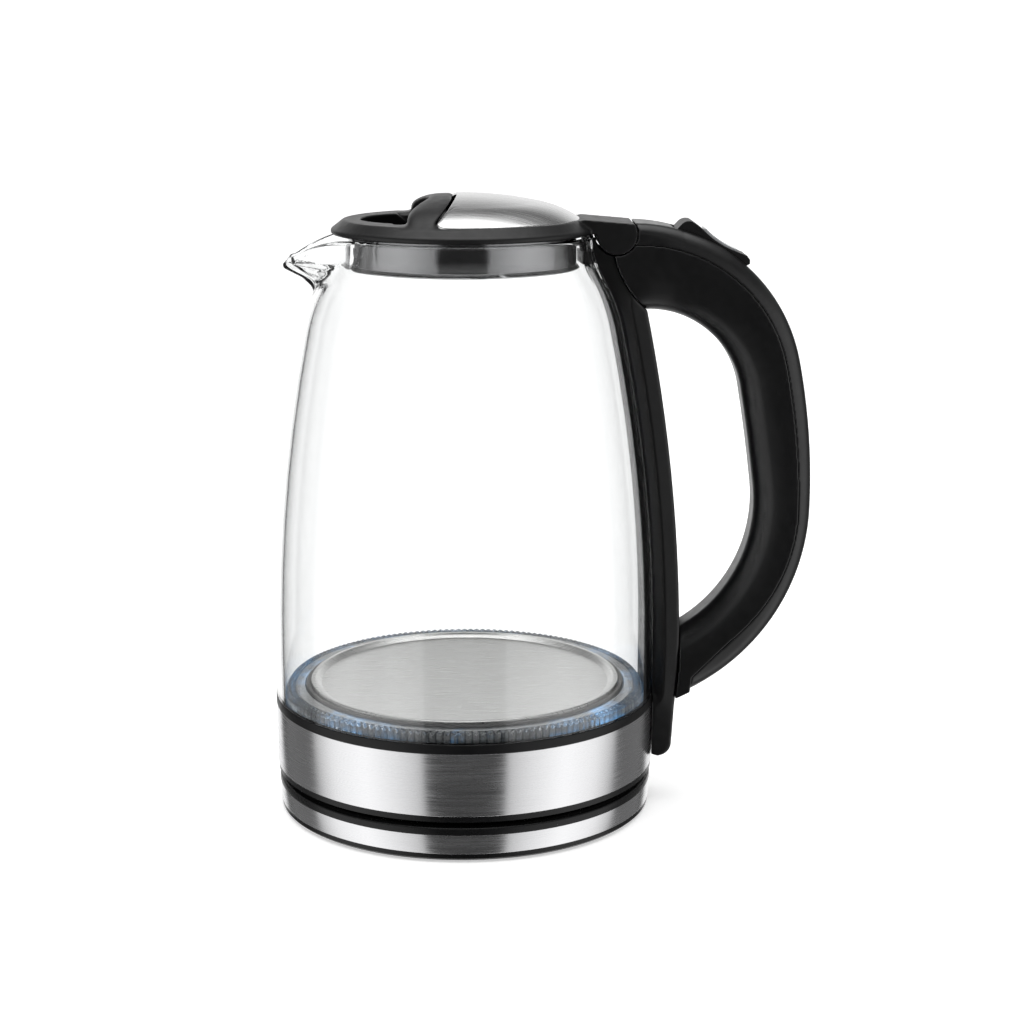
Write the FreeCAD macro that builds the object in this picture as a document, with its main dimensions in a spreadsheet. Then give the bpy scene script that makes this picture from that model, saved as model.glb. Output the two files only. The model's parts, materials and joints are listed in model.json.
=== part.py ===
"""Electric kettle: a glass jug with a black handle, standing on a round power base.

Millimetres, +Z up. The origin is on the jug's axis, on the surface that the base stands on.
The spout points along -X and the handle along +X. Outlines are drawn in the XZ plane.
"""
import FreeCAD, Part
import math
import os

import Sketcher

Vector = FreeCAD.Vector
doc = FreeCAD.newDocument("Kettle")
sheet = doc.addObject("Spreadsheet::Sheet", "Sizes")


# ---------------------------------------------------------------- driving dimensions
DRIVING = {
    # power base
    "foot_height": 0.9,
    "foot_width": 5.0,
    "foot_circle": 64.0,
    "base_radius": 74.0,
    "base_band_low": 3.5,
    "base_band_top": 11.0,
    "base_rim": 14.0,
    "base_dish": 12.2,
    "shell_wall": 1.8,
    "tower_radius": 17.0,
    "tower_top": 24.0,
    "tower_floor": 3.0,
    "slot_floor": 9.0,
    "cord_radius": 3.6,
    "cord_level": 7.2,
    # jug base
    "jug_radius": 75.0,
    "band_gauge": 0.8,
    "cover_bottom": 14.5,
    "band_low": 18.6,
    "band_top": 43.0,
    "trim_top": 46.7,
    "trim_proud": 0.2,
    "plate_level": 50.0,
    "plate_lip": 51.7,
    "plate_radius": 61.4,
    "plate_gauge": 1.2,
    "crystal_top": 50.0,
    # glass
    "glass_wall": 3.0,
    "glass_upright": 65.2,
    "flank_radius": 617.6,
    "flank_turn": 11.74,
    "shoulder_radius": 72.0,
    "shoulder_turn": 17.5,
    "neck_radius": 32.0,
    # lid
    "lid_radius": 50.4,
    "lid_low": 227.6,
    "lid_top": 233.0,
    "lid_plate_low": 230.2,
    "dome_radius": 45.2,
    "dome_top": 242.5,
    "dome_crown": 140.0,
    "dome_crown_turn": 12.0,
    "cup_radius": 43.7,
    "cup_bottom": 216.0,
    "recess_radius": 25.4,
    "recess_centre": 13.6,
    "recess_floor": 221.0,
    # hinge
    "hinge_x": 58.4,
    "hinge_z": 227.8,
    "barrel_radius": 7.7,
    "barrel_gap": 0.4,
    "hinge_pin_radius": 1.5,
    "pin_clearance": 0.05,
    "lug_half": 7.4,
    # handle
    "handle_half": 14.0,
    "spine_half": 13.0,
    "cavity_half": 9.5,
    "cavity_wall": 4.0,
    "outer_start_z": 231.85,
    "outer_r1": 66.6,
    "outer_turn1": 77.4,
    "outer_r2": 256.0,
    "outer_turn2": 13.3,
    "outer_r3": 84.0,
    "outer_turn3": 62.0,
    "seam_r1": 58.2,
    "seam_turn1": 79.7,
    "seam_r2": 280.0,
    "seam_turn2": 11.5,
    "seam_r3": 67.8,
    "seam_turn3": 47.5,
    "grip_x": 70.4,
    "grip_z": 198.8,
    "grip_r1": 37.3,
    "grip_turn1": 80.3,
    "grip_r2": 665.0,
    "grip_turn2": 3.4,
    "grip_r3": 58.6,
    "grip_turn3": 65.8,
    "fillet_radius": 41.0,
    "spine_radius": 676.0,
    "spine_turn": 10.8,
    # switch
    "rocker_x": 96.0,
    "rocker_z": 219.5,
    "rocker_half": 8.0,
    "rocker_pin_radius": 1.2,
    "lever_x": 89.0,
    "lever_z": 211.0,
}


class Size:
    """A number that remembers the sheet formula it comes from."""

    def __init__(self, value, formula):
        self.value = float(value)
        self.formula = formula

    def __add__(self, other):
        other = size(other)
        return Size(self.value + other.value, f"({self.formula} + {other.formula})")

    def __sub__(self, other):
        other = size(other)
        return Size(self.value - other.value, f"({self.formula} - {other.formula})")

    def __mul__(self, other):
        other = size(other)
        return Size(self.value * other.value, f"({self.formula} * {other.formula})")

    def __truediv__(self, other):
        other = size(other)
        return Size(self.value / other.value, f"({self.formula} / {other.formula})")

    def __neg__(self):
        return Size(-self.value, f"(0 - {self.formula})")

    __radd__ = __add__
    __rmul__ = __mul__

    def __rsub__(self, other):
        return size(other) - self

    @property
    def bound(self):
        """Whether the sheet drives this number."""
        return "Sizes." in self.formula


def size(number):
    return number if isinstance(number, Size) else Size(number, f"({float(number)!r})")


def sine(angle):
    return Size(math.sin(math.radians(angle.value)), f"sin({angle.formula})")


def cosine(angle):
    return Size(math.cos(math.radians(angle.value)), f"cos({angle.formula})")


def bind(item, prop, number):
    """Tie a property to the sheet, where the number comes from it."""
    if size(number).bound:
        item.setExpression(prop, number.formula)


class Dims:
    """The sheet's aliases as attributes."""


D = Dims()
for row, (alias, value) in enumerate(DRIVING.items(), 1):
    sheet.set(f"A{row}", alias.replace("_", " "))
    sheet.set(f"B{row}", str(value))
    sheet.setAlias(f"B{row}", alias)
    setattr(D, alias, Size(value, f"Sizes.{alias}"))
doc.recompute()


# ---------------------------------------------------------------- outlines
class Path:
    """Points joined by straight edges (None) or arcs (radius, side); side is +1 to the left."""

    def __init__(self, x, y):
        self.points = [(size(x), size(y))]
        self.edges = []

    def to(self, *points):
        for x, y in points:
            self.points.append((size(x), size(y)))
            self.edges.append(None)
        return self

    def bend(self, x, y, radius, side):
        """An arc under half a turn to a given point."""
        self.points.append((size(x), size(y)))
        self.edges.append((size(radius), side))
        return self

    def turn(self, heading, *arcs):
        """Arcs that follow on smoothly from a heading: (radius, degrees), + to the left."""
        heading = size(heading)
        for radius, degrees in arcs:
            degrees = size(degrees)
            side = 1 if degrees.value > 0 else -1
            after = heading + degrees
            x, y = self.points[-1]
            reach = size(radius) * side
            x = x + reach * (sine(after) - sine(heading))
            y = y - reach * (cosine(after) - cosine(heading))
            self.bend(x, y, radius, side)
            heading = after
        return self

    def join(self, path):
        """Carry on with another path, straight to its first point."""
        self.to(path.points[0])
        self.points += path.points[1:]
        self.edges += path.edges
        return self

    def back(self):
        """The same path the other way round."""
        other = Path(*self.points[-1])
        other.points = self.points[::-1]
        other.edges = [e and (e[0], -e[1]) for e in self.edges[::-1]]
        return other


def arc_centre(start, end, radius, side):
    chord = end - start
    left = Vector(-chord.y, chord.x, 0).normalize()
    height = math.sqrt(max(radius ** 2 - (chord.Length / 2) ** 2, 0))
    return (start + end) / 2 + left * height * side


def edge_geometry(start, end, edge):
    """The sketch geometry of one edge, and which of its ends comes first."""
    if edge is None:
        return Part.LineSegment(start, end), 1
    radius, side = edge[0].value, edge[1]
    centre = arc_centre(start, end, radius, side)
    circle = Part.Circle(centre, Vector(0, 0, 1), radius)
    first, last = (start, end) if side > 0 else (end, start)
    angles = [math.atan2(p.y - centre.y, p.x - centre.x) for p in (first, last)]
    if angles[1] < angles[0]:
        angles[1] += 2 * math.pi
    return Part.ArcOfCircle(circle, *angles), 1 if side > 0 else 2


def pin_point(sketch, geometry, position, x, y):
    """Fix a sketch point by its distances from the origin."""
    for kind, number in (("DistanceX", size(x)), ("DistanceY", size(y))):
        rule = Sketcher.Constraint(kind, -1, 1, geometry, position, number.value)
        bind(sketch, f"Constraints[{sketch.addConstraint(rule)}]", number)


def draw(sketch, path, closing=None):
    """Draw a closed outline: the last point joins the first by the closing edge."""
    edges = path.edges + [closing]
    spots = [Vector(x.value, y.value, 0) for x, y in path.points]
    drawn = []
    for number, edge in enumerate(edges):
        geometry, first = edge_geometry(spots[number], spots[(number + 1) % len(spots)], edge)
        drawn.append((sketch.addGeometry(geometry, False), first))
    for number, (index, first) in enumerate(drawn):
        following, start = drawn[(number + 1) % len(drawn)]
        sketch.addConstraint(Sketcher.Constraint("Coincident", index, 3 - first, following, start))
        pin_point(sketch, index, first, *path.points[number])
        if edges[number]:
            radius = edges[number][0]
            rule = sketch.addConstraint(Sketcher.Constraint("Radius", index, radius.value))
            bind(sketch, f"Constraints[{rule}]", radius)


def draw_circles(sketch, radius, *centres):
    for x, y in centres:
        circle = Part.Circle(Vector(size(x).value, size(y).value, 0), Vector(0, 0, 1), size(radius).value)
        index = sketch.addGeometry(circle, False)
        pin_point(sketch, index, 3, x, y)
        rule = sketch.addConstraint(Sketcher.Constraint("Radius", index, size(radius).value))
        bind(sketch, f"Constraints[{rule}]", size(radius))


# ---------------------------------------------------------------- features
parts = []


def new_part(name):
    body = doc.addObject("PartDesign::Body", name)
    body.Label = name
    body.AllowCompound = True
    parts.append(body)
    return body


def new_sketch(body, role="XZ_Plane", offset=0):
    """A sketch on one of the body's own planes, offset along its normal."""
    sketch = body.newObject("Sketcher::SketchObject", "Outline")
    plane = next(f for f in body.Origin.OriginFeatures if f.Role == role)
    sketch.AttachmentSupport = [(plane, "")]
    sketch.MapMode = "FlatFace"
    sketch.AttachmentOffset = FreeCAD.Placement(Vector(0, 0, size(offset).value), FreeCAD.Rotation())
    bind(sketch, "AttachmentOffset.Base.z", offset)
    return sketch


def volume(body):
    return body.Shape.Volume if body.Tip and not body.Shape.isNull() else 0.0


def finish_feature(body, feature, cuts):
    """Recompute, and make sure that the feature added or removed material."""
    before = volume(body)
    body.Tip = feature
    doc.recompute()
    grown = feature.Shape.Volume - (before if before else 0.0)
    if (grown > -1e-6) == cuts:
        raise RuntimeError(f"{body.Label}: {feature.Name} changed the volume by {grown:.3f}")
    return feature


def spin(body, path, cuts=False):
    """Revolve an XZ outline about the Z axis."""
    sketch = new_sketch(body)
    draw(sketch, path)
    return revolve(body, sketch, 360, cuts)


def revolve(body, sketch, angle, cuts=False):
    kind = "PartDesign::Groove" if cuts else "PartDesign::Revolution"
    feature = body.newObject(kind, "Turned")
    feature.Profile = sketch
    feature.ReferenceAxis = (sketch, ["V_Axis"])
    feature.Angle = angle
    return finish_feature(body, feature, cuts)


def slab(body, paths, width, cuts=False, closing=None):
    """Extrude outlines to both sides of the XZ plane."""
    sketch = new_sketch(body)
    for path in paths:
        draw(sketch, path, closing)
    return extrude(body, sketch, width, cuts, both=True)


def extrude(body, sketch, length, cuts=False, both=False):
    kind = "PartDesign::Pocket" if cuts else "PartDesign::Pad"
    feature = body.newObject(kind, "Extruded")
    feature.Profile = sketch
    feature.Length = size(length).value
    bind(feature, "Length", length)
    if both:
        feature.SideType = "Symmetric"
    elif cuts:
        feature.Reversed = True
    return finish_feature(body, feature, cuts)


def rods(body, radius, centres, low, high, cuts=False, role="XY_Plane"):
    """Round bars or holes along the normal of a plane, from low to high."""
    sketch = new_sketch(body, role, low)
    draw_circles(sketch, radius, *centres)
    return extrude(body, sketch, size(high) - low, cuts)


def soften(body, radius, wanted):
    """Fillet the edges that a test picks from the body's shape so far."""
    base = body.Tip
    names = [f"Edge{n}" for n, edge in enumerate(base.Shape.Edges, 1) if wanted(edge)]
    feature = body.newObject("PartDesign::Fillet", "Softened")
    feature.Base = (base, names)
    feature.Radius = radius
    body.Tip = feature
    doc.recompute()


def box_path(x0, z0, x1, z1):
    return Path(x0, z0).to((x1, z0), (x1, z1), (x0, z1))


def on_circle(radius, *degrees):
    """Points on a circle about the origin."""
    turns = [math.radians(d) for d in degrees]
    return [(size(radius) * math.cos(t), size(radius) * math.sin(t)) for t in turns]


def on_barrel(radius, degrees):
    """A point at an angle around the lid hinge."""
    angle = math.radians(degrees)
    return D.hinge_x + radius * math.cos(angle), D.hinge_z + radius * math.sin(angle)


# ---------------------------------------------------------------- shared curves
def glass_path(inset):
    """The jug's flank from its foot up to the rim, set in from the outside of the glass."""
    start = D.jug_radius - inset
    rise = Path(start, D.trim_top).to((start, D.glass_upright))
    return rise.turn(
        90,
        (D.flank_radius - inset, D.flank_turn),
        (D.shoulder_radius - inset, D.shoulder_turn),
        (D.neck_radius + inset, -(D.flank_turn + D.shoulder_turn)),
    )


def outer_path(last_turn):
    """The back of the handle, from the lid hinge round to its foot."""
    return Path(on_barrel(D.barrel_radius + D.barrel_gap, 30)[0], D.outer_start_z).turn(
        -0.6, (D.outer_r1, -D.outer_turn1), (D.outer_r2, -D.outer_turn2), (D.outer_r3, -last_turn)
    )


def seam_path():
    """The parting line between the handle's shell and its cover."""
    start = on_barrel(D.barrel_radius + D.barrel_gap, -30)
    return Path(*start).turn(
        1.8, (D.seam_r1, -D.seam_turn1), (D.seam_r2, -D.seam_turn2), (D.seam_r3, -D.seam_turn3)
    ).to((90.0, 53.4))


def grip_path(inset):
    """The finger side of the handle, from the jug round to its foot, set in from the surface."""
    return Path(D.grip_x, D.grip_z + inset).turn(
        0.4,
        (D.grip_r1 + inset, -D.grip_turn1),
        (D.grip_r2 + inset, -D.grip_turn2),
        (D.grip_r3 + inset, -D.grip_turn3),
    )


def dome_path(inset):
    """The lid's crown, from its middle out to its edge."""
    radius = D.dome_crown - inset
    crown = Path(0, D.dome_top - inset).turn(0, (radius, -D.dome_crown_turn))
    return crown.bend(D.dome_radius - inset, D.lid_top, 42.0, -1)


# ---------------------------------------------------------------- power base
def power_base():
    foot = new_part("base_foot_ring")
    spin(foot, box_path(D.foot_circle - D.foot_width, 0, D.foot_circle, D.foot_height))

    lower = new_part("base_lower_shell")
    rim = D.base_radius - 0.3
    wall = D.base_radius - 0.9
    spin(lower, Path(0, D.foot_height).to(
        (rim - 0.8, D.foot_height), (rim, D.foot_height + 0.8), (rim, D.base_band_low),
        (wall, D.base_band_low), (wall, D.base_band_top - 0.1),
        (wall - D.shell_wall, D.base_band_top - 0.1), (wall - D.shell_wall, D.tower_floor),
        (0, D.tower_floor),
    ))
    rods(lower, 4.0, on_circle(50.0, 0, 120, 240), D.tower_floor, 10.0)
    rods(lower, 1.5, on_circle(50.0, 0, 120, 240), D.foot_height, 10.5, cuts=True)
    rods(lower, 2.7, on_circle(50.0, 0, 120, 240), D.foot_height - 0.1, 3.2, cuts=True)
    cord_hole(lower, 5.05)

    band = new_part("base_steel_band")
    spin(band, box_path(D.base_radius - D.band_gauge, D.base_band_low, D.base_radius, D.base_band_top))
    cord_hole(band, 5.05)

    upper = new_part("base_upper_shell")
    spin(upper, Path(D.tower_radius + 0.3, 10.2).to(
        (D.tower_radius + 0.3, 18.0), (D.tower_radius + 2.6, 18.0),
        (D.tower_radius + 5.0, D.base_dish), (68.5, D.base_dish), (70.3, D.base_rim),
        (D.base_radius - 0.4, D.base_rim), (D.base_radius + 0.3, D.base_rim - 0.7),
        (D.base_radius + 0.3, D.base_band_top), (71.0, D.base_band_top), (71.0, 4.0),
        (69.4, 4.0), (69.4, 10.2),
    ))
    rods(upper, 1.3, on_circle(50.0, 0, 120, 240), 9.0, 11.6, cuts=True)
    cord_hole(upper, 5.05)

    gland = new_part("cord_gland")
    rods(gland, 5.0, [(0, D.cord_level)], -77.5, -66.1, role="XZ_Plane")
    rods(gland, D.cord_radius, [(0, D.cord_level)], -78.0, -65.0, cuts=True, role="XZ_Plane")

    screws = new_part("base_screws")
    rods(screws, 1.25, on_circle(50.0, 0, 120, 240), 3.1, 11.4)
    rods(screws, 2.5, on_circle(50.0, 0, 120, 240), 1.4, 3.1)

    tower = new_part("base_connector_tower")
    spin(tower, Path(0, D.tower_floor).to(
        (D.tower_radius, D.tower_floor), (D.tower_radius, D.tower_top), (15.2, D.tower_top),
        (15.2, D.slot_floor), (12.9, D.slot_floor), (12.9, D.tower_top), (10.9, D.tower_top),
        (10.9, D.slot_floor), (7.9, D.slot_floor), (7.9, D.tower_top), (3.2, D.tower_top),
        (3.2, 8.0), (0, 8.0),
    ))

    contacts = new_part("base_contact_rings")
    for inner, outer, low, high in ((12.9, 13.4, 9.0, 21.0), (7.9, 8.4, 9.0, 21.0), (2.8, 3.2, 8.0, 22.0)):
        spin(contacts, box_path(inner, low, outer, high))


def cord_hole(body, radius):
    """The way through the base's wall for the cord gland."""
    rods(body, radius, [(0, D.cord_level)], -80.0, -66.0, cuts=True, role="XZ_Plane")


# ---------------------------------------------------------------- coupler
def coupler():
    disc = new_part("coupler_disc")
    spin(disc, box_path(0, 25.0, 16.5, 27.2))
    blades = new_part("coupler_blades")
    spin(blades, box_path(14.0, 11.0, 14.7, 25.0))
    spin(blades, box_path(9.0, 11.0, 9.8, 25.0))
    pin = new_part("coupler_pin")
    spin(pin, Path(0, 10.0).to((1.4, 10.0), (2.2, 11.0), (2.2, 25.0), (0, 25.0)))


# ---------------------------------------------------------------- jug: base
def jug_base():
    inside = D.jug_radius - D.band_gauge - 0.1
    cover = new_part("jug_bottom_cover")
    spin(cover, Path(26.0, D.cover_bottom).to(
        (70.5, D.cover_bottom), (71.3, 16.4), (D.jug_radius - 0.3, 16.4),
        (D.jug_radius - 0.3, D.band_low), (inside, D.band_low), (inside, D.band_top - 0.1),
        (inside - D.shell_wall, D.band_top - 0.1), (inside - D.shell_wall, 18.0),
        (69.5, 16.8), (28.0, 16.8), (28.0, 30.0), (26.0, 30.0),
    ))
    loom_hole(cover)
    rods(cover, 1.5, on_circle(57.0, 60, 180, 300), 14.0, 18.0, cuts=True)

    band = new_part("jug_steel_band")
    spin(band, box_path(D.jug_radius - D.band_gauge, D.band_low, D.jug_radius, D.band_top))
    loom_hole(band)

    trim = new_part("jug_trim_ring")
    proud = D.jug_radius + D.trim_proud
    spin(trim, Path(66.0, D.band_top).to(
        (proud, D.band_top), (proud, D.trim_top), (72.2, D.trim_top), (72.2, 44.5), (66.0, 44.5),
    ))
    rods(trim, 2.2, on_circle(69.0, *range(0, 360, 45)), 42.0, 46.0, cuts=True)

    crystal = new_part("crystal_light_ring")
    spin(crystal, Path(63.5, 44.6).to(
        (71.6, 44.6), (71.6, D.crystal_top - 0.4), (71.2, D.crystal_top), (63.5, D.crystal_top),
    ))

    seals = new_part("glass_seal")
    spin(seals, box_path(71.65, 44.6, 72.1, D.trim_top - 0.1))

    plate_seal = new_part("plate_seal")
    spin(plate_seal, Path(61.45, 44.5).to(
        (63.45, 44.5), (63.45, 50.3), (62.9, 50.7), (61.45, 50.7),
    ))

    plate = new_part("heater_plate")
    edge = D.plate_radius
    under = edge - D.plate_gauge
    spin(plate, Path(0, D.plate_level).to((57.2, D.plate_level)).bend(
        58.8, D.plate_level + 0.9, 2.2, 1).to((59.3, D.plate_lip - 0.4)).bend(
        60.0, D.plate_lip, 0.8, -1).to((edge - 0.8, D.plate_lip)).bend(
        edge, D.plate_lip - 0.8, 0.8, -1).to(
        (edge, 44.4), (65.8, 44.4), (65.8, 43.1), (under, 43.1), (under, 50.2),
        (57.6, D.plate_level - D.plate_gauge), (0, D.plate_level - D.plate_gauge),
    ))

    spreader = new_part("heat_spreader")
    spin(spreader, box_path(0, 45.8, 50.0, D.plate_level - D.plate_gauge))

    element = new_part("heating_element")
    element_ring(element)

    control = new_part("thermostat_control")
    spin(control, Path(0, 27.6).to(
        (21.0, 27.6), (21.0, 30.2), (25.6, 30.2), (25.6, 31.8), (21.0, 31.8), (21.0, 39.0),
        (18.0, 42.8), (0, 42.8),
    ))
    bimetals = new_part("boil_dry_bimetals")
    rods(bimetals, 7.5, [(-9.0, 0), (9.0, 0)], 43.0, 43.7)

    board = new_part("led_board")
    spin(board, box_path(62.5, 38.0, 71.5, 39.6))
    leds = new_part("led_lamps")
    rods(leds, 1.9, on_circle(69.0, *range(0, 360, 45)), 39.6, 44.4)

    clamp = new_part("plate_clamp_ring")
    spin(clamp, box_path(54.0, 41.0, 65.8, 43.0))
    rods(clamp, 3.2, on_circle(57.0, 60, 180, 300), 17.0, 42.0)
    rods(clamp, 1.35, on_circle(57.0, 60, 180, 300), 16.0, 26.0, cuts=True)
    screws = new_part("cover_screws")
    rods(screws, 1.3, on_circle(57.0, 60, 180, 300), 15.0, 25.0)


def element_ring(body):
    """A tubular element bent into a C under the plate, with its two ends turned down."""
    circle, level = 37.0, 42.4
    sketch = new_sketch(body)
    draw_circles(sketch, 3.2, (circle, level))
    revolve(body, sketch, 320)
    rods(body, 2.0, on_circle(circle, 10, 310), 33.0, level)


def loom_hole(body):
    """The hole in the jug's base where the wires come in from the handle."""
    rods(body, 2.8, [(0, 30.0)], 66.0, 80.0, cuts=True, role="YZ_Plane")


# ---------------------------------------------------------------- jug: glass
def spout_outline(body, level, reach, inset):
    """One level of the pouring lip: a round nose with flanks that run back into the neck."""
    nose = 4.0 - inset
    root = 40.0
    spread = 30.0 - inset
    sketch = new_sketch(body, "XY_Plane", level)
    tip = reach - inset
    draw(sketch, Path(-root, -spread).to((-(tip - nose), -nose)).bend(
        -tip, 0, nose, -1).bend(-(tip - nose), nose, nose, -1).to((-root, spread)))
    return sketch


def spout_loft(body, inset, cuts):
    """The lip grows out of the shoulder level by level."""
    levels = ((206.0, 57.5), (210.5, 62.0), (214.5, 69.3), (217.0, 73.0), (229.0, 73.4))
    outlines = [spout_outline(body, level + inset * 0.6, reach, inset) for level, reach in levels]
    kind = "PartDesign::SubtractiveLoft" if cuts else "PartDesign::AdditiveLoft"
    loft = body.newObject(kind, "Lip")
    loft.Profile = outlines[0]
    loft.Sections = outlines[1:]
    loft.Ruled = True
    finish_feature(body, loft, cuts)


def glass_jug():
    glass = new_part("glass_jug")
    outside = glass_path(size(0))
    rim = outside.points[-1]
    spin(glass, Path(0, D.trim_top).join(outside).to((0, rim[1])))
    spout_loft(glass, 0.0, False)
    hollow = Path(0, D.trim_top - 1).to((D.jug_radius - D.glass_wall, D.trim_top - 1))
    inside = glass_path(D.glass_wall)
    mouth = inside.points[-1]
    spin(glass, hollow.join(inside).to((mouth[0], mouth[1] + 5), (0, mouth[1] + 5)), cuts=True)
    spout_loft(glass, 2.2, True)
    lip_top = Path(-38.0, 227.4).to((-38.0, 227.0)).bend(-60.5, 222.0, 46.0, 1).to(
        (-72.5, 214.9), (-78.0, 214.9), (-78.0, 240.0), (-38.0, 240.0))
    slab(glass, [lip_top], 90.0, cuts=True)
    slab(glass, [box_path(40.0, 215.5, 70.0, 240.0)], 20.4, cuts=True)


# ---------------------------------------------------------------- jug: handle
def handle_shell():
    shell = new_part("handle_shell")
    foot = outer_path(D.outer_turn3)
    outline = seam_path().to(foot.points[-1]).bend(83.4, 44.2, D.outer_r3, -1)
    outline.to((84.6, 56.0)).join(grip_path(size(0)).back())
    gap = D.barrel_radius + D.barrel_gap
    outline.bend(*on_barrel(gap, -97), D.fillet_radius, -1).bend(*on_barrel(gap, -60), gap, 1)
    closing = (D.barrel_radius + D.barrel_gap, 1)
    slab(shell, [outline], D.handle_half * 2, closing=closing)
    half = D.handle_half.value

    def on_grip_edge(edge):
        box = edge.BoundBox
        middle = edge.valueAt((edge.FirstParameter + edge.LastParameter) / 2)
        flat = abs(abs(box.YMin) - half) < 0.01 and box.YLength < 0.01
        on_arc = edge.Curve.TypeId == "Part::GeomCircle"
        radii = (D.grip_r1.value, D.grip_r2.value, D.grip_r3.value)
        return flat and on_arc and any(abs(edge.Curve.Radius - r) < 0.01 for r in radii) and middle.z > 60

    soften(shell, 7.0, on_grip_edge)
    cavity = grip_path(D.cavity_wall).to((93.5, 60.0)).join(outer_path(D.outer_turn3 - 3.0).back())
    slab(shell, [cavity], D.cavity_half * 2, cuts=True)
    slab(shell, [loom_channel()], 5.2, cuts=True)
    bracket_pocket(shell)
    rods(shell, 1.0, [(D.lever_x, D.lever_z)], -11.0, 11.0, cuts=True, role="XZ_Plane")


def bracket_pocket(body):
    """Room for the neck bracket and its post."""
    slab(body, [box_path(45.0, 214.9, 63.2, 229.0)], 19.2, cuts=True)


def loom_channel():
    """The way for the wires from the handle's cavity into the jug's base."""
    return Path(70.0, 27.4).to(
        (81.6, 27.4), (81.6, 50.0), (90.0, 56.5), (92.0, 68.0), (84.0, 66.0), (76.4, 58.0),
        (76.4, 37.0), (72.6, 32.6), (70.0, 32.6),
    )


def handle_cover():
    cover = new_part("handle_cover")
    outline = outer_path(D.outer_turn3).join(seam_path().back())
    slab(cover, [outline], D.handle_half * 2, closing=(D.barrel_radius + D.barrel_gap, 1))
    half = D.handle_half.value

    def on_back_edge(edge):
        flat = abs(abs(edge.BoundBox.YMin) - half) < 0.01 and edge.BoundBox.YLength < 0.01
        radii = (D.outer_r1.value, D.outer_r2.value, D.outer_r3.value)
        on_arc = edge.Curve.TypeId == "Part::GeomCircle"
        return flat and on_arc and any(abs(edge.Curve.Radius - r) < 0.01 for r in radii)

    soften(cover, 4.5, on_back_edge)
    well = Path(80.4, 240.0).to((80.4, 214.0), (110.8, 200.0), (110.8, 240.0))
    slab(cover, [well], (D.rocker_half + 0.5) * 2, cuts=True)
    rods(cover, D.rocker_pin_radius, [(D.rocker_x, D.rocker_z)], -13.0, 13.0, cuts=True, role="XZ_Plane")


def handle_spine():
    spine = new_part("handle_spine")
    back = Path(D.grip_x, D.grip_z).turn(-78.1, (D.spine_radius, -D.spine_turn))
    gap = D.barrel_radius + D.barrel_gap
    outline = Path(60.0, 60.0).to((70.0, 44.0), (70.0, 22.4), (76.4, 20.2)).bend(82.2, 25.4, 5.4, 1).to(
        (83.2, 41.0), (84.5, 56.0)).join(back.back()).bend(*on_barrel(gap, -97), D.fillet_radius, -1)
    outline.bend(*on_barrel(gap, -172), gap, -1).to((46.0, 226.6), (46.0, 214.0))
    slab(spine, [outline], D.spine_half * 2)
    clearance = size(-0.3)
    beside = glass_path(clearance)
    top = beside.points[-1]
    spin(spine, Path(0, 10.0).to((D.jug_radius + 0.3, 10.0)).join(beside).to(
        (top[0], 245.0), (0, 245.0)), cuts=True)
    slab(spine, [loom_channel()], 5.2, cuts=True)
    bracket_pocket(spine)


def neck_bracket():
    bracket = new_part("neck_bracket")
    slab(bracket, [Path(45.4, 216.0).to((62.9, 216.0), (62.9, 219.2), (49.4, 219.2), (49.0, 220.8),
                                        (45.4, 220.8))], 18.8)
    boss = D.hinge_pin_radius + 1.5
    post = Path(D.hinge_x - boss, 218.0).to((D.hinge_x + boss, 218.0), (D.hinge_x + boss, D.hinge_z))
    post.bend(D.hinge_x, D.hinge_z + boss, boss, 1).bend(D.hinge_x - boss, D.hinge_z, boss, 1)
    slab(bracket, [post], D.lug_half * 2)
    rods(bracket, D.hinge_pin_radius, [(D.hinge_x, D.hinge_z)], -9.0, 9.0, cuts=True, role="XZ_Plane")
    rods(bracket, 1.1, [(0, 217.6)], 44.0, 64.0, cuts=True, role="YZ_Plane")

    pin = new_part("hinge_pin")
    rods(pin, D.hinge_pin_radius, [(D.hinge_x, D.hinge_z)], -12.5, 12.5, role="XZ_Plane")


def steam_switch():
    unit = new_part("steam_switch")
    slab(unit, [Path(72.5, 204.0).to((86.0, 204.0), (86.0, 209.5), (84.0, 214.0), (72.5, 214.0))], 16.0)
    disc = new_part("steam_bimetal")
    rods(disc, 4.6, [(0, 209.0)], 71.7, 72.3, role="YZ_Plane")


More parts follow.
